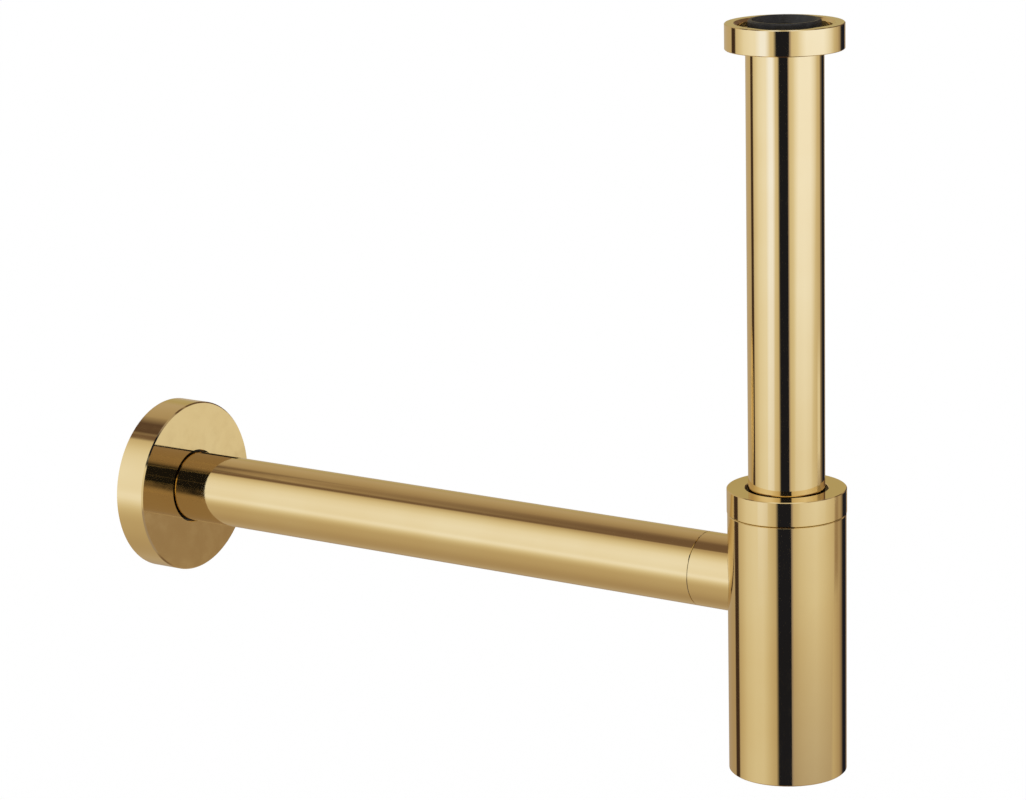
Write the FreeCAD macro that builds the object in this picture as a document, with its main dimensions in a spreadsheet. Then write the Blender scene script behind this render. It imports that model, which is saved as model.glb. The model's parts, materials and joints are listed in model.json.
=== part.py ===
"""Washbasin bottle trap: inlet tube with union nut, bottle with screwed gland, outlet pipe, wall escutcheon.

Millimetres, +Z up. The origin is on the outlet pipe's axis in the plane of the wall.
+X runs from the wall to the bottle.
"""
import FreeCAD, Part
import os
import re

import Sketcher

# Driving dimensions: lengths, heights above the outlet pipe's axis, walls, widths and clearances.
# Round pieces are sized outwards or inwards from the pipe, wall by wall.
SIZES = {
    # Tube and pipe.
    "pipe_diameter": 32.0,
    "pipe_wall": 1.0,
    "wall_distance": 330.4,
    "wall_insert": 10.0,
    # Bottle.
    "bottle_wall": 1.5,
    "bottle_depth": 81.8,
    "base_thickness": 2.0,
    "base_edge": 0.5,
    "base_corner": 2.0,
    "rim_height": 30.2,
    "dip_clearance": 12.0,
    # Gland in the bottle's neck.
    "gland_width": 4.1,
    "neck_wall": 2.3,
    "cap_wall": 2.2,
    "cap_overhang": 0.2,
    "cap_height": 10.5,
    "cap_plate": 2.5,
    "cap_hole_clearance": 1.2,
    "seam_gap": 0.3,
    "neck_skirt": 6.0,
    "neck_gap": 0.45,
    "gland_seat_thickness": 3.0,
    "gland_gasket_height": 5.0,
    "pressure_flange": 1.3,
    "pressure_nose": 1.2,
    # Union nut at the inlet.
    "inlet_height": 234.8,
    "nut_height": 10.7,
    "nut_wall": 4.95,
    "nut_lip": 2.2,
    "mouth_chamfer": 1.2,
    "slip_ring_thickness": 1.0,
    "tube_flange_width": 2.8,
    "tube_flange_thickness": 1.2,
    "flange_clearance": 0.675,
    "tube_flare": 0.8,
    "gasket_flange": 1.8,
    "gasket_step": 2.175,
    "cone_taper": 2.05,
    "cone_shoulder": 3.0,
    "cone_bevel": 0.6,
    "cone_lip": 1.0,
    "dish_width": 1.8,
    "dish_depth": 3.2,
    "gasket_proud": 1.3,
    # Screwed joint between the stub and the pipe.
    "stub_length": 14.5,
    "stub_wall": 2.2,
    "branch_wall": 3.5,
    "joint_gap": 0.2,
    "nipple_wall": 1.5,
    "nipple_socket": 14.0,
    "socket_step": 0.3,
    "nose_clearance": 0.7,
    "seal_width": 1.4,
    "seal_seat": 1.8,
    # Escutcheon.
    "escutcheon_diameter": 78.7,
    "escutcheon_depth": 14.9,
    "escutcheon_wall": 1.0,
    "escutcheon_edge": 0.6,
    "escutcheon_hole_clearance": 0.7,
    "escutcheon_collar": 6.0,
    "grip_recess": 2.0,
    "grip_flange": 1.5,
    "grip_flange_width": 2.1,
    "sleeve_gap": 0.02,
    # Clearances and broken edges.
    "thread_clearance": 0.3,
    "slide_clearance": 0.3,
    "fit_clearance": 0.05,
    "stack_clearance": 0.05,
    "braze_gap": 0.02,
    "edge_break": 0.3,
}

# Sizes that follow from the driving ones, as expressions.
PIPE_R = "(pipe_diameter / 2)"
BORE_R = "(pipe_diameter / 2 - pipe_wall)"
SLIDE_R = f"({PIPE_R} + slide_clearance)"
GRIP_R = f"({PIPE_R} + fit_clearance)"
GLAND_R = f"({GRIP_R} + gland_width + fit_clearance)"
NECK_THREAD_R = f"({GLAND_R} + neck_wall)"
CAP_BORE_R = f"({NECK_THREAD_R} + thread_clearance)"
CAP_R = f"({CAP_BORE_R} + cap_wall)"
BOTTLE_R = f"({CAP_R} - cap_overhang)"
CUP_BORE_R = f"({BOTTLE_R} - bottle_wall)"
CUP_HEIGHT = "(bottle_depth + rim_height)"
CAP_BOTTOM = "(rim_height + seam_gap)"
CAP_INNER = "(cap_height - cap_plate)"
PRESSURE_HEIGHT = "(pressure_flange + pressure_nose)"
PRESSURE_BOTTOM = f"({CAP_BOTTOM} + {CAP_INNER} - stack_clearance - {PRESSURE_HEIGHT})"
GASKET_BOTTOM = f"({PRESSURE_BOTTOM} - stack_clearance - gland_gasket_height)"
NECK_BOTTOM = "(rim_height - neck_skirt)"
NECK_TOP = f"({PRESSURE_BOTTOM} + pressure_nose - neck_gap)"
DIP_END = "(base_thickness + dip_clearance - bottle_depth)"
NUT_BOTTOM = "(inlet_height - nut_height)"
FLANGE_R = f"({PIPE_R} + tube_flange_width)"
NUT_BORE_R = f"({FLANGE_R} + flange_clearance)"
NUT_R = f"({NUT_BORE_R} + nut_wall)"
SLIP_BOTTOM = f"({NUT_BOTTOM} + nut_lip + stack_clearance)"
FLANGE_BOTTOM = f"({SLIP_BOTTOM} + slip_ring_thickness + stack_clearance)"
FLANGE_TOP = f"({FLANGE_BOTTOM} + tube_flange_thickness)"
TUBE_LENGTH = f"({FLANGE_TOP} - {DIP_END})"
INLET_GASKET_HEIGHT = f"(inlet_height + gasket_proud - {FLANGE_TOP})"
GASKET_FLANGE_R = f"({NUT_BORE_R} - slide_clearance)"
CONE_BASE_R = f"({GASKET_FLANGE_R} - gasket_step)"
SHOULDER_R = f"({CONE_BASE_R} - cone_taper)"
CONE_TOP_R = f"({SHOULDER_R} - cone_bevel)"
GASKET_DISH_R = f"({CONE_TOP_R} - cone_lip)"
GASKET_HOLE_R = f"({GASKET_DISH_R} - dish_width)"
STUB_REACH = f"({BOTTLE_R} + stub_length)"
STUB_END = f"(wall_distance - {STUB_REACH})"
JOINT_DEPTH = "(stub_length - nose_clearance)"
NOSE_LENGTH = f"({JOINT_DEPTH} - seal_seat)"
PIPE_LENGTH = f"({STUB_END} - joint_gap + wall_insert)"
JOINT_BORE_R = f"({PIPE_R} - stub_wall)"
BRANCH_R = f"({PIPE_R} - branch_wall)"
NOSE_R = f"({JOINT_BORE_R} - thread_clearance)"
NIPPLE_BORE_R = f"({NOSE_R} - nipple_wall)"
SOCKET_R = f"({BORE_R} + socket_step)"
SEAL_INNER_R = f"({NOSE_R} + fit_clearance)"
SEAL_OUTER_R = f"({SEAL_INNER_R} + seal_width)"
SEAL_SEAT_R = f"({SEAL_OUTER_R} + fit_clearance)"
SEAL_LENGTH = "(seal_seat + joint_gap - 2 * stack_clearance)"
ESCUTCHEON_R = "(escutcheon_diameter / 2)"
ESCUTCHEON_HOLE_R = f"({PIPE_R} + escutcheon_hole_clearance)"
COLLAR_BACK = "(escutcheon_depth - escutcheon_collar)"
GRIP_BACK = f"({COLLAR_BACK} - grip_flange)"
GRIP_LENGTH = "(grip_flange + escutcheon_collar - grip_recess)"
GRIP_OUTER_R = f"({ESCUTCHEON_HOLE_R} - sleeve_gap)"

doc = FreeCAD.newDocument("bottle_trap")


def make_sheet():
    """Put each driving dimension in a named cell."""
    sheet = doc.addObject("Spreadsheet::Sheet", "Dimensions")
    for row, (name, value) in enumerate(SIZES.items(), start=1):
        sheet.set(f"A{row}", name)
        sheet.set(f"B{row}", str(value))
        sheet.setAlias(f"B{row}", name)
    doc.recompute()


def cells(expression):
    """Point each size's name in an expression at its cell."""
    return re.sub(r"[a-z_]+", lambda word: f"Dimensions.{word.group(0)}", expression)


def origin_feature(body, role):
    """The body's own plane or axis with this role."""
    return next(feature for feature in body.Origin.OriginFeatures if feature.Role == role)


def new_sketch(body, name, plane):
    """An empty sketch on one of the body's own planes."""
    sketch = body.newObject("Sketcher::SketchObject", name)
    sketch.AttachmentSupport = [(origin_feature(body, plane), "")]
    sketch.MapMode = "FlatFace"
    return sketch


def hold_coordinate(sketch, line, kind, name, expression):
    """Tie one coordinate of a line's start point to an expression, or to the axis where it is zero."""
    if expression == "0":
        axis = -2 if kind == "DistanceX" else -1
        sketch.addConstraint(Sketcher.Constraint("PointOnObject", line, 1, axis))
        return
    start = sketch.Geometry[line].StartPoint
    value = start.x if kind == "DistanceX" else start.y
    number = sketch.addConstraint(Sketcher.Constraint(kind, -1, 1, line, 1, value))
    sketch.renameConstraint(number, name)
    sketch.setExpression(f"Constraints.{name}", cells(expression))


def measure(expression):
    """The present value of an expression."""
    return float(doc.Dimensions.evalExpression(cells(expression)))


def draw_outline(sketch, corners):
    """A closed outline of straight lines, with each corner's place held by expressions."""
    points = [FreeCAD.Vector(measure(x), measure(y), 0) for x, y in corners]
    count = len(points)
    for index in range(count):
        sketch.addGeometry(Part.LineSegment(points[index], points[(index + 1) % count]), False)
    for index in range(count):
        sketch.addConstraint(Sketcher.Constraint("Coincident", index, 2, (index + 1) % count, 1))
    for index, (x, y) in enumerate(corners):
        hold_coordinate(sketch, index, "DistanceX", f"across_{index}", x)
        hold_coordinate(sketch, index, "DistanceY", f"along_{index}", y)


def place(body, x="0", z="0"):
    """Set where a body stands, by expressions."""
    for axis, expression in (("x", x), ("z", z)):
        if expression != "0":
            body.setExpression(f".Placement.Base.{axis}", cells(expression))


def turned(label, corners, lying=False):
    """A body turned from an outline of (radius, height), or of (length, radius) where it lies along X."""
    body = doc.addObject("PartDesign::Body", label)
    body.Label = label
    sketch = new_sketch(body, f"{label}_outline", "XZ_Plane")
    doc.recompute()
    draw_outline(sketch, corners)
    turn = body.newObject("PartDesign::Revolution", f"{label}_turn")
    turn.Profile = sketch
    turn.ReferenceAxis = (sketch, ["H_Axis" if lying else "V_Axis"])
    turn.Angle = 360
    doc.recompute()
    return body


def cut_circle(body, name, plane, across, along, radius, through=None):
    """Cut a round hole with its centre on a plane: right through both ways, or one way to a depth."""
    sketch = new_sketch(body, f"{name}_circle", plane)
    doc.recompute()
    centre = FreeCAD.Vector(measure(across), measure(along), 0)
    circle = sketch.addGeometry(Part.Circle(centre, FreeCAD.Vector(0, 0, 1), measure(radius)), False)
    for kind, expression in (("DistanceX", across), ("DistanceY", along)):
        if expression == "0":
            axis = -2 if kind == "DistanceX" else -1
            sketch.addConstraint(Sketcher.Constraint("PointOnObject", circle, 3, axis))
        else:
            number = sketch.addConstraint(Sketcher.Constraint(kind, -1, 1, circle, 3, measure(expression)))
            sketch.setExpression(f"Constraints[{number}]", cells(expression))
    number = sketch.addConstraint(Sketcher.Constraint("Radius", circle, measure(radius)))
    sketch.setExpression(f"Constraints[{number}]", cells(radius))
    before = body.Shape.Volume
    pocket = body.newObject("PartDesign::Pocket", name)
    pocket.Profile = sketch
    if through is None:
        pocket.SideType = "Symmetric"
        pocket.Type = "ThroughAll"
    else:
        pocket.setExpression("Length", cells(through))
    doc.recompute()
    if body.Shape.Volume >= before:
        raise RuntimeError(f"{name} cut nothing")


def make_bottle_cup():
    """Drawn cup, closed at the base, with a round hole for the branch."""
    corners = [
        ("0", "0"),
        (f"{BOTTLE_R} - base_edge", "0"),
        (BOTTLE_R, "base_edge"),
        (BOTTLE_R, f"{CUP_HEIGHT} - edge_break"),
        (f"{BOTTLE_R} - edge_break", CUP_HEIGHT),
        (CUP_BORE_R, CUP_HEIGHT),
        (CUP_BORE_R, "base_thickness + base_corner"),
        (f"{CUP_BORE_R} - base_corner", "base_thickness"),
        ("0", "base_thickness"),
    ]
    body = turned("bottle_cup", corners)
    cut_circle(body, "branch_hole", "YZ_Plane", "0", "bottle_depth", BRANCH_R, through=BOTTLE_R)
    place(body, x="wall_distance", z="-bottle_depth")
    return body


def make_neck_ring():
    """Turned ring in the cup's mouth: thread for the cap outside, seat for the gland gasket inside."""
    rim = f"(rim_height - {NECK_BOTTOM})"
    top = f"({NECK_TOP} - {NECK_BOTTOM})"
    seat = f"({GASKET_BOTTOM} - {NECK_BOTTOM})"
    socket_r = f"({CUP_BORE_R} - braze_gap)"
    corners = [
        (GLAND_R, "0"),
        (socket_r, "0"),
        (socket_r, rim),
        (NECK_THREAD_R, rim),
        (NECK_THREAD_R, f"{top} - edge_break"),
        (f"{NECK_THREAD_R} - edge_break", top),
        (GLAND_R, top),
        (GLAND_R, seat),
        (SLIDE_R, seat),
        (SLIDE_R, f"{seat} - gland_seat_thickness"),
        (GLAND_R, f"{seat} - gland_seat_thickness"),
    ]
    body = turned("neck_ring", corners)
    place(body, x="wall_distance", z=NECK_BOTTOM)
    return body


def make_gland_gasket():
    """Rubber ring that seals the inlet tube, with broken outer edges."""
    outer_r = f"({GLAND_R} - fit_clearance)"
    corners = [
        (GRIP_R, "0"),
        (f"{outer_r} - edge_break", "0"),
        (outer_r, "edge_break"),
        (outer_r, "gland_gasket_height - edge_break"),
        (f"{outer_r} - edge_break", "gland_gasket_height"),
        (GRIP_R, "gland_gasket_height"),
    ]
    body = turned("gland_gasket", corners)
    place(body, x="wall_distance", z=GASKET_BOTTOM)
    return body


def make_pressure_ring():
    """Stepped slip ring: its flange turns under the cap's plate, its nose presses on the gland gasket."""
    nose_r = f"({GLAND_R} - slide_clearance)"
    corners = [
        (SLIDE_R, "0"),
        (nose_r, "0"),
        (nose_r, "pressure_nose"),
        (NECK_THREAD_R, "pressure_nose"),
        (NECK_THREAD_R, PRESSURE_HEIGHT),
        (SLIDE_R, PRESSURE_HEIGHT),
    ]
    body = turned("pressure_ring", corners)
    place(body, x="wall_distance", z=PRESSURE_BOTTOM)
    return body


def make_cap_ring():
    """Compression ring: plain turned outside, thread bore, and a plate with a wide hole around the tube."""
    hole_r = f"({PIPE_R} + cap_hole_clearance)"
    corners = [
        (f"{CAP_BORE_R} + edge_break", "0"),
        (f"{CAP_R} - edge_break", "0"),
        (CAP_R, "edge_break"),
        (CAP_R, "cap_height - edge_break"),
        (f"{CAP_R} - edge_break", "cap_height"),
        (f"{hole_r} + edge_break", "cap_height"),
        (hole_r, "cap_height - edge_break"),
        (hole_r, CAP_INNER),
        (CAP_BORE_R, CAP_INNER),
        (CAP_BORE_R, "edge_break"),
    ]
    body = turned("cap_ring", corners)
    place(body, x="wall_distance", z=CAP_BOTTOM)
    return body


def make_inlet_tube():
    """Straight tube that dips into the bottle, flared at the top into a formed flange."""
    flange_base = f"({TUBE_LENGTH} - tube_flange_thickness)"
    corners = [
        (BORE_R, "0"),
        (f"{PIPE_R} - edge_break", "0"),
        (PIPE_R, "edge_break"),
        (PIPE_R, f"{flange_base} - edge_break"),
        (f"{PIPE_R} + edge_break", flange_base),
        (FLANGE_R, flange_base),
        (FLANGE_R, TUBE_LENGTH),
        (f"{BORE_R} + tube_flare", TUBE_LENGTH),
        (BORE_R, f"{TUBE_LENGTH} - tube_flare"),
    ]
    body = turned("inlet_tube", corners)
    place(body, x="wall_distance", z=DIP_END)
    return body


def make_inlet_slip_ring():
    """Thin ring on which the nut turns: snug on the tube, with a bevel for the flange's root."""
    outer_r = f"({NUT_BORE_R} - slide_clearance)"
    corners = [
        (GRIP_R, "0"),
        (outer_r, "0"),
        (outer_r, "slip_ring_thickness"),
        (f"{SLIDE_R} + edge_break", "slip_ring_thickness"),
        (GRIP_R, "slip_ring_thickness / 2"),
    ]
    body = turned("inlet_slip_ring", corners)
    place(body, x="wall_distance", z=SLIP_BOTTOM)
    return body


def make_inlet_nut():
    """Round union nut: a lip that pulls on the flange, and a thread bore with a chamfered mouth."""
    corners = [
        (SLIDE_R, "0"),
        (f"{NUT_R} - edge_break", "0"),
        (NUT_R, "edge_break"),
        (NUT_R, "nut_height - edge_break"),
        (f"{NUT_R} - edge_break", "nut_height"),
        (f"{NUT_BORE_R} + mouth_chamfer", "nut_height"),
        (NUT_BORE_R, "nut_height - mouth_chamfer"),
        (NUT_BORE_R, "nut_lip"),
        (SLIDE_R, "nut_lip"),
    ]
    body = turned("inlet_nut", corners)
    place(body, x="wall_distance", z=NUT_BOTTOM)
    return body


def make_inlet_gasket():
    """Rubber cone gasket: a flange on the tube's flange, and a hollow cone with a dished mouth."""
    corners = [
        (BORE_R, "0"),
        (GASKET_FLANGE_R, "0"),
        (GASKET_FLANGE_R, "gasket_flange"),
        (CONE_BASE_R, "gasket_flange"),
        (SHOULDER_R, f"{INLET_GASKET_HEIGHT} - cone_shoulder"),
        (SHOULDER_R, f"{INLET_GASKET_HEIGHT} - cone_bevel"),
        (CONE_TOP_R, INLET_GASKET_HEIGHT),
        (GASKET_DISH_R, INLET_GASKET_HEIGHT),
        (GASKET_HOLE_R, f"{INLET_GASKET_HEIGHT} - dish_depth"),
    ]
    body = turned("inlet_gasket", corners)
    place(body, x="wall_distance", z=FLANGE_TOP)
    return body


def make_outlet_stub():
    """Branch with a thread bore, coped to a saddle that sits on the cup."""
    corners = [
        ("0", SEAL_SEAT_R),
        ("0", f"{PIPE_R} - edge_break / 2"),
        ("edge_break / 2", PIPE_R),
        (STUB_REACH, PIPE_R),
        (STUB_REACH, BRANCH_R),
        (JOINT_DEPTH, BRANCH_R),
        (JOINT_DEPTH, JOINT_BORE_R),
        ("seal_seat", JOINT_BORE_R),
        ("seal_seat", SEAL_SEAT_R),
    ]
    body = turned("outlet_stub", corners, lying=True)
    cut_circle(body, "saddle", "XY_Plane", STUB_REACH, "0", f"{BOTTLE_R} + braze_gap")
    place(body, x=STUB_END)
    return body


def make_outlet_pipe():
    """Straight pipe from behind the wall's face to the stub, with a turned seat for the nipple."""
    corners = [
        ("0", BORE_R),
        ("0", f"{PIPE_R} - edge_break"),
        ("edge_break", PIPE_R),
        (f"{PIPE_LENGTH} - edge_break / 2", PIPE_R),
        (PIPE_LENGTH, f"{PIPE_R} - edge_break / 2"),
        (PIPE_LENGTH, SOCKET_R),
        (f"{PIPE_LENGTH} - nipple_socket", SOCKET_R),
        (f"{PIPE_LENGTH} - nipple_socket", BORE_R),
    ]
    body = turned("outlet_pipe", corners, lying=True)
    place(body, x="-wall_insert")
    return body


def make_outlet_nipple():
    """Spigot brazed into the pipe's end, with a threaded nose for the stub."""
    length = f"(nipple_socket + joint_gap + {NOSE_LENGTH})"
    socket_r = f"({SOCKET_R} - braze_gap)"
    corners = [
        ("0", NIPPLE_BORE_R),
        ("0", f"{socket_r} - edge_break"),
        ("edge_break", socket_r),
        ("nipple_socket", socket_r),
        ("nipple_socket", NOSE_R),
        (f"{length} - edge_break", NOSE_R),
        (length, f"{NOSE_R} - edge_break"),
        (length, NIPPLE_BORE_R),
    ]
    body = turned("outlet_nipple", corners, lying=True)
    place(body, x=f"{STUB_END} - joint_gap - nipple_socket")
    return body


def make_outlet_seal():
    """Flat rubber ring around the nipple's nose, between its shoulder and the stub's seat."""
    corners = [
        ("0", SEAL_INNER_R),
        ("0", SEAL_OUTER_R),
        (SEAL_LENGTH, SEAL_OUTER_R),
        (SEAL_LENGTH, SEAL_INNER_R),
    ]
    body = turned("outlet_seal", corners, lying=True)
    place(body, x=f"{STUB_END} - joint_gap + stack_clearance")
    return body


def make_escutcheon():
    """Deep drawn wall cover: open at the back, with a collar turned inwards around its hole."""
    skin_r = f"({ESCUTCHEON_R} - escutcheon_wall)"
    front_back = "(escutcheon_depth - escutcheon_wall)"
    collar_r = f"({ESCUTCHEON_HOLE_R} + escutcheon_wall)"
    corners = [
        ("0", skin_r),
        ("0", ESCUTCHEON_R),
        ("escutcheon_depth - escutcheon_edge", ESCUTCHEON_R),
        ("escutcheon_depth", f"{ESCUTCHEON_R} - escutcheon_edge"),
        ("escutcheon_depth", f"{ESCUTCHEON_HOLE_R} + edge_break"),
        ("escutcheon_depth - edge_break", ESCUTCHEON_HOLE_R),
        (COLLAR_BACK, ESCUTCHEON_HOLE_R),
        (COLLAR_BACK, collar_r),
        (front_back, collar_r),
        (front_back, skin_r),
    ]
    return turned("escutcheon", corners, lying=True)


def make_escutcheon_ring():
    """Rubber sleeve in the escutcheon's collar, with a flange behind it, that grips the pipe."""
    flange_r = f"({ESCUTCHEON_HOLE_R} + grip_flange_width)"
    corners = [
        ("0", GRIP_R),
        ("0", flange_r),
        ("grip_flange", flange_r),
        ("grip_flange", GRIP_OUTER_R),
        (GRIP_LENGTH, GRIP_OUTER_R),
        (GRIP_LENGTH, GRIP_R),
    ]
    body = turned("escutcheon_ring", corners, lying=True)
    place(body, x=GRIP_BACK)
    return body


def check_document(parts):
    """Stop if any object failed or any part's shape is missing or invalid."""
    for item in doc.Objects:
        if "Invalid" in item.State or "Error" in item.State:
            raise RuntimeError(f"{item.Label} failed: {item.State}")
    for item in parts:
        if item.Shape.isNull() or not item.Shape.isValid() or len(item.Shape.Solids) != 1:
            raise RuntimeError(f"{item.Label} is not one valid solid")


def write_parts(parts):
    """Write each part to a file named after it."""
    os.makedirs("parts", exist_ok=True)
    for item in parts:
        item.Shape.exportStep(f"parts/{item.Label}.step")


make_sheet()
PARTS = [
    make_bottle_cup(),
    make_neck_ring(),
    make_gland_gasket(),
    make_pressure_ring(),
    make_cap_ring(),
    make_inlet_tube(),
    make_inlet_slip_ring(),
    make_inlet_nut(),
    make_inlet_gasket(),
    make_outlet_stub(),
    make_outlet_pipe(),
    make_outlet_nipple(),
    make_outlet_seal(),
    make_escutcheon(),
    make_escutcheon_ring(),
]
doc.recompute()
check_document(PARTS)
write_parts(PARTS)
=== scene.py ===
"""Looks of the bottle trap: polished gold, raw brass, rubber and nylon, in a white studio.

Metres, in the part's own frame: the origin is on the outlet pipe's axis in the plane of the wall, +Z is up.
"""
import json
import math

import bpy
from mathutils import Matrix, Vector


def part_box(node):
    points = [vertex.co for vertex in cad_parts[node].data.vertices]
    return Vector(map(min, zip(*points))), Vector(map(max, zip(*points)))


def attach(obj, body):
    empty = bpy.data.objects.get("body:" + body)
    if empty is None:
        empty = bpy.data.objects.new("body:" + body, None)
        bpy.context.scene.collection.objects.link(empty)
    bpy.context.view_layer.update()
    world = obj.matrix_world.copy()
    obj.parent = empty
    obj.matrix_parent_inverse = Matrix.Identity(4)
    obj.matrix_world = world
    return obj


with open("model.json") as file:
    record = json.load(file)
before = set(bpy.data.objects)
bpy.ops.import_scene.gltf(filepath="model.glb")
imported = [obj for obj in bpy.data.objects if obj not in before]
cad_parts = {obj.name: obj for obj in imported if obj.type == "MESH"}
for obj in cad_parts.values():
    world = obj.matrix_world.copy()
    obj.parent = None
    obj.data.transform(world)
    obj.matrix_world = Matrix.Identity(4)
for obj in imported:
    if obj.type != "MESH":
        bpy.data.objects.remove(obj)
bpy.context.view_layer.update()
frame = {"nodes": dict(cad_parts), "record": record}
MM = 0.001

# Places that the frame gives.
TUBE_LOW, TUBE_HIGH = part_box("inlet_tube")
PIPE_LOW, PIPE_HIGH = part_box("outlet_pipe")
NUT_LOW, NUT_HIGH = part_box("inlet_nut")
CUP_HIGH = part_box("bottle_cup")[1]
NECK_LOW, NECK_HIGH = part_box("neck_ring")
AXIS = Vector(((TUBE_LOW.x + TUBE_HIGH.x) / 2, 0, (PIPE_LOW.z + PIPE_HIGH.z) / 2))

# Threads. Walls and steps repeat the part's own sizes, because the frame gives boxes only.
UNION_PITCH = 2.309 * MM
NUT_WALL = 4.95 * MM
NUT_LIP = 2.2 * MM
MOUTH_CHAMFER = 1.2 * MM
NECK_PITCH = 1.5 * MM
NECK_STEP = 0.78 * MM
EDGE_BREAK = 0.3 * MM
RIDGE_HEIGHT = 0.22 * MM
RIDGE_ROOT = 0.05 * MM
RIDGE_STEPS = 96
# Half widths of a ridge in pitches, and the steps over which it fades out at each end.
RIDGE_FOOT = 0.36
RIDGE_CREST = 0.1
FADE_STEPS = RIDGE_STEPS // 4

# Camera, placed from the point where the tube's axis meets the pipe's.
IMAGE_WIDTH = 1026
SENSOR = 36.0
FOCAL_PIXELS = 3586.7
CAMERA_OFFSET = Vector((0.7124, -1.2533, 0.4338))
CAMERA_YAW = math.radians(34.102)
CAMERA_PITCH = math.radians(-13.796)
CAMERA_ROLL = math.radians(-1.330)

# Studio. The polished metal mirrors a far shell around the object, which is lit softly by direction.
# Angles are in degrees: around, to the right of the direction from the bottle to the camera, and upward.
FLOOR_HEIGHT = -0.5
FLOOR_HALF = 30.0
FLOOR_COLOUR = (0.85, 0.85, 0.85, 1)
FLOOR_LIFT = 0.15
WHITE = (1, 1, 1, 1)
SHELL_RADIUS = 40.0
SHELL_STEP = 4
# Brightness of the shell at angles around and upward, as listed.
AROUND = (
    (-180, 0.52), (-150, 0.57), (-125, 0.58), (-105, 0.72), (-84, 0.93), (-65, 1.0), (-47, 1.0), (-33, 0.84),
    (-20, 0.70), (12, 0.74), (25, 0.87), (41, 0.94), (58, 0.98), (77, 0.90), (98, 0.78), (110, 0.69),
    (124, 0.50), (150, 0.36), (180, 0.52),
)
UPWARD = (
    (-90, 0.10), (-75, 0.12), (-66, 0.45), (-58, 0.52), (-45, 0.58), (-33, 0.62), (-27, 0.68), (-20, 0.80),
    (-12, 1.0), (-8, 1.07), (0, 1.0), (19, 1.03), (33, 1.0), (43, 0.90), (48, 0.82), (55, 0.62),
    (62, 0.60), (70, 1.0), (76, 1.15), (90, 1.15),
)
# Low down the shell varies less around. The share of its variation grows over a range of heights.
VARIATION_LEAST = 0.2
VARIATION_FROM = -50
VARIATION_RANGE = 30
# Green and blue in the shell's light, as shares of its red, and what a higher level adds to them.
GREEN_SHARE = 0.59
GREEN_RISE = 0.45
BLUE_SHARE = 0.5
BLUE_RISE = 0.65
# Colours of the cards in front of the shell.
LAMP_WHITE = (1.13, 1.30, 1.95)
BLACK_CLOTH = (0.014, 0.016, 0.03)
GREY_FLOOR = (0.40, 0.345, 0.34)
GREY_CEILING = (0.38, 0.325, 0.32)
WARM_WALL = (0.51, 0.43, 0.22)

# Colours, linear.
GOLD = (0.80, 0.63, 0.325, 1)
GOLD_WARM = (0.785, 0.605, 0.30, 1)
BRASS = (0.68, 0.49, 0.22, 1)
BRASS_DULL = (0.52, 0.36, 0.15, 1)
RUBBER = (0.008, 0.0085, 0.0095, 1)
RUBBER_BLOOM = (0.020, 0.0205, 0.022, 1)
NYLON = (0.022, 0.022, 0.023, 1)
NYLON_SHADE = (0.036, 0.036, 0.037, 1)

# Surfaces: grains to the metre, least and most roughness, and depth of relief.
GOLD_DRIFT = 28
GOLD_HAZE = 160
GOLD_WAVES = 60
GOLD_ROUGHNESS = (0.035, 0.075)
GOLD_RELIEF = 0.002 * MM
BRASS_DRIFT = 90
BRASS_ROUGHNESS = (0.22, 0.42)
BRASS_RELIEF = 0.02 * MM
TOOL_LINES = 9000
TOOL_DRIFT = 60
RUBBER_CLOUDS = 320
RUBBER_GRAIN = 4200
RUBBER_ROUGHNESS = (0.38, 0.58)
RUBBER_RELIEF = 0.03 * MM
NYLON_MOTTLE = 140
NYLON_SKIN = 2600
NYLON_ROUGHNESS = (0.36, 0.52)
NYLON_RELIEF = 0.02 * MM
# Most of a noise lies between these values.
NOISE_LOW = 0.35
NOISE_HIGH = 0.65


def new_material(name):
    """A material with one main shader. Returns it with its node tree and that shader."""
    material = bpy.data.materials.new(name)
    material.use_nodes = True
    tree = material.node_tree
    return material, tree, tree.nodes["Principled BSDF"]


def add_node(tree, kind, **settings):
    """A new node with its properties set."""
    node = tree.nodes.new(kind)
    for name, value in settings.items():
        setattr(node, name, value)
    return node


def object_place(tree, stretch=(1, 1, 1)):
    """The place on the object in metres, stretched along its axes."""
    place = add_node(tree, "ShaderNodeTexCoord")
    mapping = add_node(tree, "ShaderNodeMapping")
    mapping.inputs["Scale"].default_value = stretch
    tree.links.new(place.outputs["Object"], mapping.inputs["Vector"])
    return mapping.outputs["Vector"]


def noise(tree, place, scale, detail=3.0):
    """Noise with so many grains to the metre."""
    node = add_node(tree, "ShaderNodeTexNoise")
    node.inputs["Scale"].default_value = scale
    node.inputs["Detail"].default_value = detail
    tree.links.new(place, node.inputs["Vector"])
    return node.outputs["Fac"]


def spread(tree, source, low, high):
    """Map the middle of a noise to a range of values."""
    node = add_node(tree, "ShaderNodeMapRange")
    node.inputs["From Min"].default_value = NOISE_LOW
    node.inputs["From Max"].default_value = NOISE_HIGH
    node.inputs["To Min"].default_value = low
    node.inputs["To Max"].default_value = high
    tree.links.new(source, node.inputs["Value"])
    return node.outputs["Result"]


def blend_colours(tree, source, first, second):
    """Two colours mixed by a value from 0 to 1."""
    node = add_node(tree, "ShaderNodeMix", data_type="RGBA")
    for socket in node.inputs:
        if socket.type == "RGBA" and socket.name == "A":
            socket.default_value = first
        if socket.type == "RGBA" and socket.name == "B":
            socket.default_value = second
    tree.links.new(source, node.inputs["Factor"])
    return next(socket for socket in node.outputs if socket.type == "RGBA")


def bump(tree, shader, height, depth):
    """Relief of so many metres on the main shader."""
    node = add_node(tree, "ShaderNodeBump")
    node.inputs["Distance"].default_value = depth
    node.inputs["Strength"].default_value = 1.0
    tree.links.new(height, node.inputs["Height"])
    tree.links.new(node.outputs["Normal"], shader.inputs["Normal"])


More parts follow.
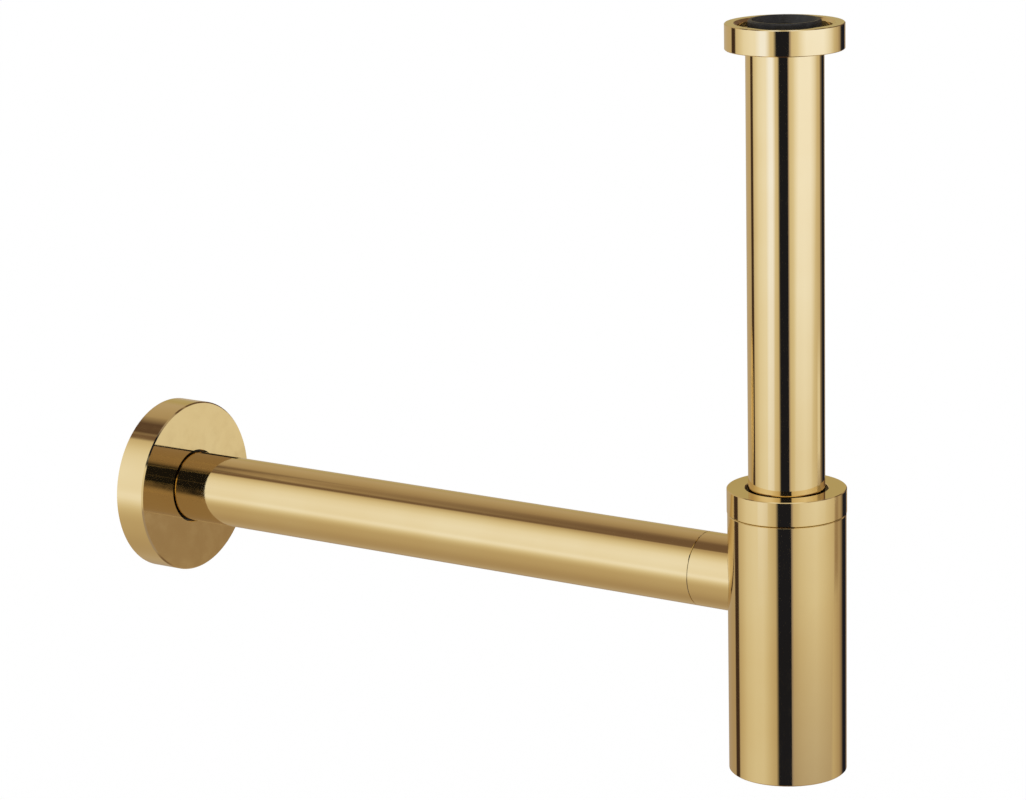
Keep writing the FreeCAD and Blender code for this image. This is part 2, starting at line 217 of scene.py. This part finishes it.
def polished_gold():
    """Mirror polished gold plating: faint drifts of tone and haze, and a trace of polishing waves."""
    material, tree, shader = new_material("polished_gold")
    place = object_place(tree)
    tone = spread(tree, noise(tree, place, GOLD_DRIFT), 0, 1)
    tree.links.new(blend_colours(tree, tone, GOLD, GOLD_WARM), shader.inputs["Base Color"])
    haze = spread(tree, noise(tree, place, GOLD_HAZE, detail=6), *GOLD_ROUGHNESS)
    tree.links.new(haze, shader.inputs["Roughness"])
    shader.inputs["Metallic"].default_value = 1.0
    bump(tree, shader, noise(tree, place, GOLD_WAVES, detail=2), GOLD_RELIEF)
    return material


def turned_brass(name, stretch):
    """Unplated turned brass, with tool lines across the stretched axis."""
    material, tree, shader = new_material(name)
    place = object_place(tree)
    tone = spread(tree, noise(tree, place, BRASS_DRIFT, detail=5), 0, 1)
    tree.links.new(blend_colours(tree, tone, BRASS, BRASS_DULL), shader.inputs["Base Color"])
    lines = noise(tree, object_place(tree, stretch), 1, detail=4)
    tree.links.new(spread(tree, lines, *BRASS_ROUGHNESS), shader.inputs["Roughness"])
    shader.inputs["Metallic"].default_value = 1.0
    bump(tree, shader, lines, BRASS_RELIEF)
    return material


def black_rubber():
    """Moulded black rubber with a fine grain and a grey bloom."""
    material, tree, shader = new_material("black_rubber")
    place = object_place(tree)
    bloom = spread(tree, noise(tree, place, RUBBER_CLOUDS, detail=5), 0, 1)
    tree.links.new(blend_colours(tree, bloom, RUBBER, RUBBER_BLOOM), shader.inputs["Base Color"])
    grain = noise(tree, place, RUBBER_GRAIN)
    tree.links.new(spread(tree, grain, *RUBBER_ROUGHNESS), shader.inputs["Roughness"])
    bump(tree, shader, grain, RUBBER_RELIEF)
    return material


def nylon():
    """Black nylon, with soft mottling and a fine moulded skin."""
    material, tree, shader = new_material("nylon")
    place = object_place(tree)
    mottle = spread(tree, noise(tree, place, NYLON_MOTTLE, detail=4), 0, 1)
    tree.links.new(blend_colours(tree, mottle, NYLON, NYLON_SHADE), shader.inputs["Base Color"])
    skin = noise(tree, place, NYLON_SKIN)
    tree.links.new(spread(tree, skin, *NYLON_ROUGHNESS), shader.inputs["Roughness"])
    bump(tree, shader, skin, NYLON_RELIEF)
    return material


def dress(materials):
    """Give every node its own material, where it has one, or else that of its slot."""
    for row in frame["record"]["subparts"]:
        node = frame["nodes"][row["node"]]
        material = materials.get(row["node"]) or materials[row["material_slot"]]
        node.data.materials.clear()
        node.data.materials.append(material)


def new_mesh(name, points, faces):
    """A mesh object in the scene."""
    mesh = bpy.data.meshes.new(name)
    mesh.from_pydata(points, [], faces)
    mesh.update()
    piece = bpy.data.objects.new(name, mesh)
    bpy.context.scene.collection.objects.link(piece)
    return piece


def thread_ridge(name, radius, inwards, low, high, pitch):
    """A helical thread ridge on a round wall about the tube's axis, which fades out at both ends."""
    side = -1 if inwards else 1
    profile = (
        (-RIDGE_FOOT, -RIDGE_ROOT), (-RIDGE_CREST, RIDGE_HEIGHT),
        (RIDGE_CREST, RIDGE_HEIGHT), (RIDGE_FOOT, -RIDGE_ROOT),
    )
    turns = (high - low) / pitch - 1
    count = int(turns * RIDGE_STEPS)
    points = []
    for index in range(count + 1):
        angle = 2 * math.pi * index / RIDGE_STEPS
        fade = min(1, index / FADE_STEPS, (count - index) / FADE_STEPS)
        for along, out in profile:
            away = radius + side * (out * fade if out > 0 else out)
            height = low + pitch * (0.5 + index / RIDGE_STEPS + along)
            points.append((AXIS.x + away * math.cos(angle), AXIS.y + away * math.sin(angle), height))
    size = len(profile)
    faces = [tuple(range(size)), tuple(count * size + corner for corner in reversed(range(size)))]
    for index in range(count):
        for corner in range(size):
            after = (corner + 1) % size
            first, second = index * size, (index + 1) * size
            faces.append((first + corner, second + corner, second + after, first + after))
    if inwards:
        faces = [tuple(reversed(face)) for face in faces]
    return new_mesh(name, points, faces)


def add_threads(materials):
    """The union thread in the nut and the cap's thread on the bottle's neck."""
    nut_bore = (NUT_HIGH.x - NUT_LOW.x) / 2 - NUT_WALL
    thread_top = NUT_HIGH.z - MOUTH_CHAMFER
    nut_thread = thread_ridge("nut_thread", nut_bore, True, NUT_LOW.z + NUT_LIP, thread_top, UNION_PITCH)
    # The nut's thread is unplated raw brass, and its darker, duller brass is also painted shade for the dark
    # mouth of the nut.
    nut_thread.data.materials.append(materials["raw_brass"])
    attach(nut_thread, "nut")
    neck_radius = (NECK_HIGH.x - NECK_LOW.x) / 2 - NECK_STEP
    neck_thread = thread_ridge(
        "neck_thread", neck_radius, False, CUP_HIGH.z, NECK_HIGH.z - EDGE_BREAK, NECK_PITCH)
    neck_thread.data.materials.append(materials["raw_brass"])
    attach(neck_thread, "bottle")


def add_camera():
    """The camera at the photograph's viewing angle."""
    level = math.cos(CAMERA_PITCH)
    forward = Vector((-math.sin(CAMERA_YAW) * level, math.cos(CAMERA_YAW) * level, math.sin(CAMERA_PITCH)))
    right = Vector((math.cos(CAMERA_YAW), math.sin(CAMERA_YAW), 0))
    up = right.cross(forward)
    across = right * math.cos(CAMERA_ROLL) + up * math.sin(CAMERA_ROLL)
    upward = up * math.cos(CAMERA_ROLL) - right * math.sin(CAMERA_ROLL)
    data = bpy.data.cameras.new("camera")
    data.sensor_fit = "HORIZONTAL"
    data.sensor_width = SENSOR
    data.lens = SENSOR * FOCAL_PIXELS / IMAGE_WIDTH
    camera = bpy.data.objects.new("camera", data)
    bpy.context.scene.collection.objects.link(camera)
    turn = Matrix((across, upward, -forward)).transposed().to_4x4()
    camera.matrix_world = Matrix.Translation(AXIS + CAMERA_OFFSET) @ turn
    bpy.context.scene.camera = camera


def between(stops, at):
    """The value at a place in a list of (place, value), on straight lines between them."""
    for (start, first), (stop, last) in zip(stops, stops[1:]):
        if at <= stop:
            return first + (last - first) * (at - start) / (stop - start)
    return stops[-1][1]


def studio_level(around, upward):
    """How bright the shell is in a direction. Low down it is more even all round."""
    variation = min(1, max(VARIATION_LEAST, (upward - VARIATION_FROM) / VARIATION_RANGE))
    return between(UPWARD, upward) * (1 + (between(AROUND, around) - 1) * variation)


def studio_tone(level):
    """The colour of a brightness: lamps are cooler, and what they leave dark is warmer."""
    green = level * (GREEN_SHARE + GREEN_RISE * level)
    blue = level * (BLUE_SHARE + BLUE_RISE * level ** 3)
    return (level, green, blue)


def studio_point(around, upward, radius):
    """A place on the shell, by its direction from the bottle."""
    start = math.atan2(CAMERA_OFFSET.y, CAMERA_OFFSET.x)
    turn, rise = start + math.radians(around), math.radians(upward)
    level = radius * math.cos(rise)
    return AXIS + Vector((level * math.cos(turn), level * math.sin(turn), radius * math.sin(rise)))


def light_material():
    """Light of the colour that is stored on the mesh, which shows as far as the stored cover goes."""
    material = bpy.data.materials.new("studio_light")
    material.use_nodes = True
    material.cycles.emission_sampling = "NONE"
    tree = material.node_tree
    tree.nodes.clear()
    stored = add_node(tree, "ShaderNodeAttribute", attribute_name="light")
    light = add_node(tree, "ShaderNodeEmission")
    tree.links.new(stored.outputs["Color"], light.inputs["Color"])
    clear = add_node(tree, "ShaderNodeBsdfTransparent")
    blend = add_node(tree, "ShaderNodeMixShader")
    tree.links.new(stored.outputs["Alpha"], blend.inputs["Fac"])
    tree.links.new(clear.outputs["BSDF"], blend.inputs[1])
    tree.links.new(light.outputs["Emission"], blend.inputs[2])
    output = add_node(tree, "ShaderNodeOutputMaterial")
    tree.links.new(blend.outputs["Shader"], output.inputs["Surface"])
    return material


def studio_patch(name, columns, rows, colour_at, radius, material):
    """A part of the shell with a colour and a cover stored at each corner. It shows in reflections only."""
    points = [studio_point(around, upward, radius) for upward in rows for around in columns]
    width = len(columns)
    faces = []
    for row in range(len(rows) - 1):
        for column in range(width - 1):
            low, high = row * width + column, (row + 1) * width + column
            faces.append((low, low + 1, high + 1, high))
    patch = new_mesh(name, points, faces)
    light = patch.data.color_attributes.new("light", "FLOAT_COLOR", "POINT")
    corners = [(around, upward) for upward in rows for around in columns]
    for corner, (around, upward) in zip(light.data, corners):
        corner.color = colour_at(around, upward)
    patch.data.materials.append(material)
    patch.visible_camera = False
    patch.visible_diffuse = False
    patch.visible_shadow = False


def steps(start, stop):
    """Even steps over a range of angles."""
    count = max(1, math.ceil((stop - start) / SHELL_STEP))
    return [start + (stop - start) * index / count for index in range(count + 1)]


def soft_steps(low, high, soft):
    """Steps over a range of angles, with a soft margin of its own size at each end."""
    return [low] + steps(low + soft[0], high - soft[1]) + [high]


def add_shell(material):
    """The shell all round."""
    def colour_at(around, upward):
        return (*studio_tone(studio_level(around, upward)), 1)
    studio_patch("studio_shell", steps(-180, 180), steps(-90, 90), colour_at, SHELL_RADIUS, material)


def add_card(name, colour, around, upward, soft_around, soft_upward, order, material):
    """A card in front of the shell, with soft margins. A higher order is nearer."""
    def colour_at(turn, rise):
        inside = around[0] < turn < around[1] and upward[0] < rise < upward[1]
        return (*colour, 1 if inside else 0)
    columns = soft_steps(*around, soft_around)
    rows = soft_steps(*upward, soft_upward)
    studio_patch(name, columns, rows, colour_at, SHELL_RADIUS - order, material)


# Cards from far to near: name, colour, range around, range upward, soft margins around and upward.
CARDS = (
    ("left_box", LAMP_WHITE, (-59, -28), (-17, 4), (12, 10), (7, 8)),
    ("right_box", studio_tone(1.13), (24, 108), (-16, 6), (18, 30), (7, 8)),
    ("back_wall", WARM_WALL, (150, 210), (2, 26), (14, 14), (5, 8)),
    ("right_light", studio_tone(0.86), (104, 114.5), (-15.4, -12.4), (4, 2), (0.6, 1)),
    ("right_shade", studio_tone(0.37), (102, 119), (-17, -14.6), (6, 5), (0.5, 0.7)),
    ("right_floor", GREY_FLOOR, (80, 114), (-62, -26), (6, 6), (6, 5)),
    ("right_ceiling", GREY_CEILING, (60, 120), (16, 56), (8, 6), (4, 6)),
    ("back_top", studio_tone(0.16), (100, 168), (45, 64), (5, 6), (4, 6)),
    ("back_top_right", studio_tone(0.16), (121, 168), (20, 50), (5, 6), (6, 4)),
    ("back_right", studio_tone(0.16), (144, 172), (-4, 26), (6, 6), (4, 4)),
    ("right_line", BLACK_CLOTH, (100, 124), (-5, 17), (6, 6), (3, 4)),
    ("front_floor", GREY_FLOOR, (2, 100), (-70, -17), (6, 16), (6, 6)),
    ("front_ceiling", GREY_CEILING, (28, 80), (40, 66), (6, 10), (5, 5)),
    ("front_top_right", BLACK_CLOTH, (28, 62), (18, 52), (4, 8), (4, 6)),
    ("left_top", studio_tone(0.19), (-152, -94), (53, 70), (14, 5), (6, 5)),
    ("left_top_side", studio_tone(0.20), (-112, -94), (42, 62), (8, 5), (6, 4)),
    ("left_rim", studio_tone(0.12), (-144, -106), (40, 52.5), (16, 4), (6, 1.5)),
    ("left_line", studio_tone(0.06), (-123, -106.5), (-28, 6), (3, 3), (4, 4)),
    ("right_flag", BLACK_CLOTH, (126, 160), (-34, 14), (10, 4), (4, 6)),
    ("front_flag_top", BLACK_CLOTH, (6, 32), (20, 50), (3, 4), (4, 4)),
    ("front_flag_middle", BLACK_CLOTH, (4, 16), (6, 26), (2, 3), (3, 4)),
    ("front_flag", BLACK_CLOTH, (-22, 10), (-36, 24), (5.5, 1.8), (4, 4)),
    ("front_low", GREY_FLOOR, (7.6, 12.5), (-40, 5), (1.5, 2.5), (6, 2)),
)


def add_studio():
    """The shell, and the cards that make the bands in the metal."""
    light = light_material()
    add_shell(light)
    for order, (name, colour, around, upward, soft_around, soft_upward) in enumerate(CARDS, 1):
        add_card(name, colour, around, upward, soft_around, soft_upward, order, light)


def floor_material():
    """Pale floor, lifted to white for the camera, mirrors and glass. It keeps the object's shadow."""
    material, tree, shader = new_material("floor")
    shader.inputs["Base Color"].default_value = FLOOR_COLOUR
    shader.inputs["Roughness"].default_value = 1.0
    shader.inputs["Specular IOR Level"].default_value = 0.0
    rays = add_node(tree, "ShaderNodeLightPath")
    seen = add_node(tree, "ShaderNodeMath", operation="MAXIMUM")
    tree.links.new(rays.outputs["Is Camera Ray"], seen.inputs[0])
    mirrored = add_node(tree, "ShaderNodeMath", operation="MAXIMUM")
    tree.links.new(rays.outputs["Is Glossy Ray"], mirrored.inputs[0])
    tree.links.new(rays.outputs["Is Transmission Ray"], mirrored.inputs[1])
    tree.links.new(mirrored.outputs["Value"], seen.inputs[1])
    lift = add_node(tree, "ShaderNodeMath", operation="MULTIPLY")
    lift.inputs[1].default_value = FLOOR_LIFT
    tree.links.new(seen.outputs["Value"], lift.inputs[0])
    shader.inputs["Emission Color"].default_value = WHITE
    tree.links.new(lift.outputs["Value"], shader.inputs["Emission Strength"])
    return material


def add_floor():
    """A plain floor well below the object. The object's own metal doesn't mirror it, only the shell."""
    half = FLOOR_HALF
    corners = [(-half, -half, FLOOR_HEIGHT), (half, -half, FLOOR_HEIGHT), (half, half, FLOOR_HEIGHT),
               (-half, half, FLOOR_HEIGHT)]
    floor = new_mesh("floor", corners, [(0, 1, 2, 3)])
    floor.data.materials.append(floor_material())
    floor.visible_glossy = False


def set_world():
    """Even white light from all round."""
    world = bpy.data.worlds.new("studio")
    world.use_nodes = True
    sky = world.node_tree.nodes["Background"]
    sky.inputs["Color"].default_value = WHITE
    sky.inputs["Strength"].default_value = 1.0
    bpy.context.scene.world = world


MATERIALS = {
    "polished_gold": polished_gold(),
    "raw_brass": turned_brass("raw_brass", (TOOL_DRIFT, TOOL_DRIFT, TOOL_LINES)),
    "outlet_nipple": turned_brass("raw_brass_lying", (TOOL_LINES, TOOL_DRIFT, TOOL_DRIFT)),
    "black_rubber": black_rubber(),
    "nylon": nylon(),
}
dress(MATERIALS)
add_threads(MATERIALS)
add_camera()
add_floor()
add_studio()
set_world()
bpy.context.scene.view_settings.view_transform = "Standard"
